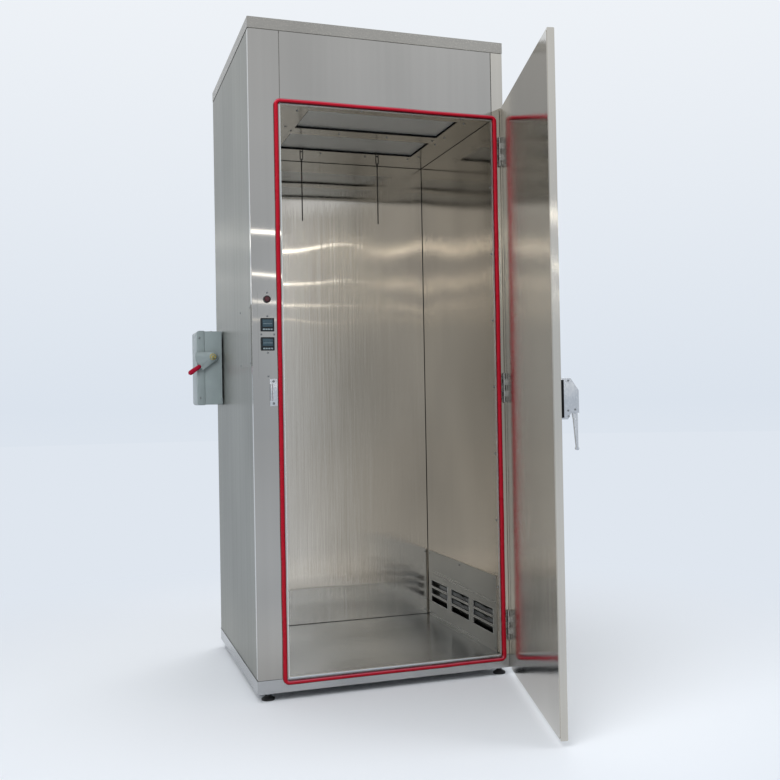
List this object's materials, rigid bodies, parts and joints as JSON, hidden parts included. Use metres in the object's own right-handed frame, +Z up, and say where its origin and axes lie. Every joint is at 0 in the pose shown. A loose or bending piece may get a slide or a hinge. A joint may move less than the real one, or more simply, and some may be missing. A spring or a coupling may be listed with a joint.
{
  "type": "cleanroom oven",
  "caption": "Tall stainless walk-up oven with a full-height chamber, filtered ceiling, low return grille and one side-hinged door on a red silicone gasket.",
  "frame": {"origin": "centre of the cabinet's footprint at floor level, under the levelling feet", "axes": "+X to the right seen from the front, +Y from the front into the cabinet, +Z up"},
  "size_m": [1.1517, 1.9043, 2.469],
  "materials": {
    "stainless": "vertical brushed stainless sheet",
    "liner_steel": "smooth mill-finish stainless sheet",
    "filter_face": "perforated face over a pleated filter",
    "chrome": "polished chrome plate",
    "foot_rubber": "black moulded rubber",
    "grey_paint": "grey baked enamel",
    "red_silicone": "red silicone rubber",
    "controller_black": "dark plastic with a display window",
    "pilot_red": "dark red lens"
  },
  "bodies": {
    "cabinet": {"base_frame": "stainless", "left_side_panel": "stainless", "right_side_panel": "stainless", "back_panel": "stainless", "roof_panel": "stainless", "top_cap": "stainless", "left_post": "stainless", "right_post": "stainless", "header_panel": "stainless", "floor_liner": "liner_steel", "left_liner": "liner_steel", "right_liner": "liner_steel", "back_liner": "liner_steel", "chamber_ceiling": "liner_steel", "filter_front": "filter_face", "filter_rear": "filter_face", "return_grille": "liner_steel", "return_damper": "liner_steel", "door_gasket": "red_silicone", "control_plate": "stainless", "upper_controller": "controller_black", "lower_controller": "controller_black", "pilot_light": "pilot_red", "service_cover": "stainless", "latch_keeper": "chrome", "top_hinge_post_leaf": "chrome", "middle_hinge_post_leaf": "chrome", "bottom_hinge_post_leaf": "chrome", "foot_front_left": "foot_rubber", "foot_front_right": "foot_rubber", "foot_back_left": "foot_rubber", "foot_back_right": "foot_rubber", "switch_box": "grey_paint", "switch_cover": "grey_paint", "probe_left": "liner_steel", "probe_right": "liner_steel"},
    "door": {"door_shell": "stainless", "door_inner_panel": "liner_steel", "top_hinge_door_leaf": "chrome", "middle_hinge_door_leaf": "chrome", "bottom_hinge_door_leaf": "chrome", "latch_body": "chrome"},
    "latch_lever": {"latch_lever": "chrome"},
    "switch_handle": {"switch_handle": "grey_paint"}
  },
  "joints": [
    {"name": "door_hinge", "type": "hinge", "parent": "cabinet", "child": "door", "pos_m": [0.475, -0.51325, 1.1], "axis": [0, 0, 1], "range_deg": [-77, 13]},
    {"name": "latch_lever_pivot", "type": "hinge", "parent": "door", "child": "latch_lever", "pos_m": [0.35426, -1.37518, 1.035], "axis": [-0.225, -0.9744, 0], "range_deg": [0, 30]},
    {"name": "switch_handle_pivot", "type": "hinge", "parent": "cabinet", "child": "switch_handle", "pos_m": [-0.54, 0.2805, 1.277], "axis": [0, 1, 0], "range_deg": [0, 72]}
  ]
}
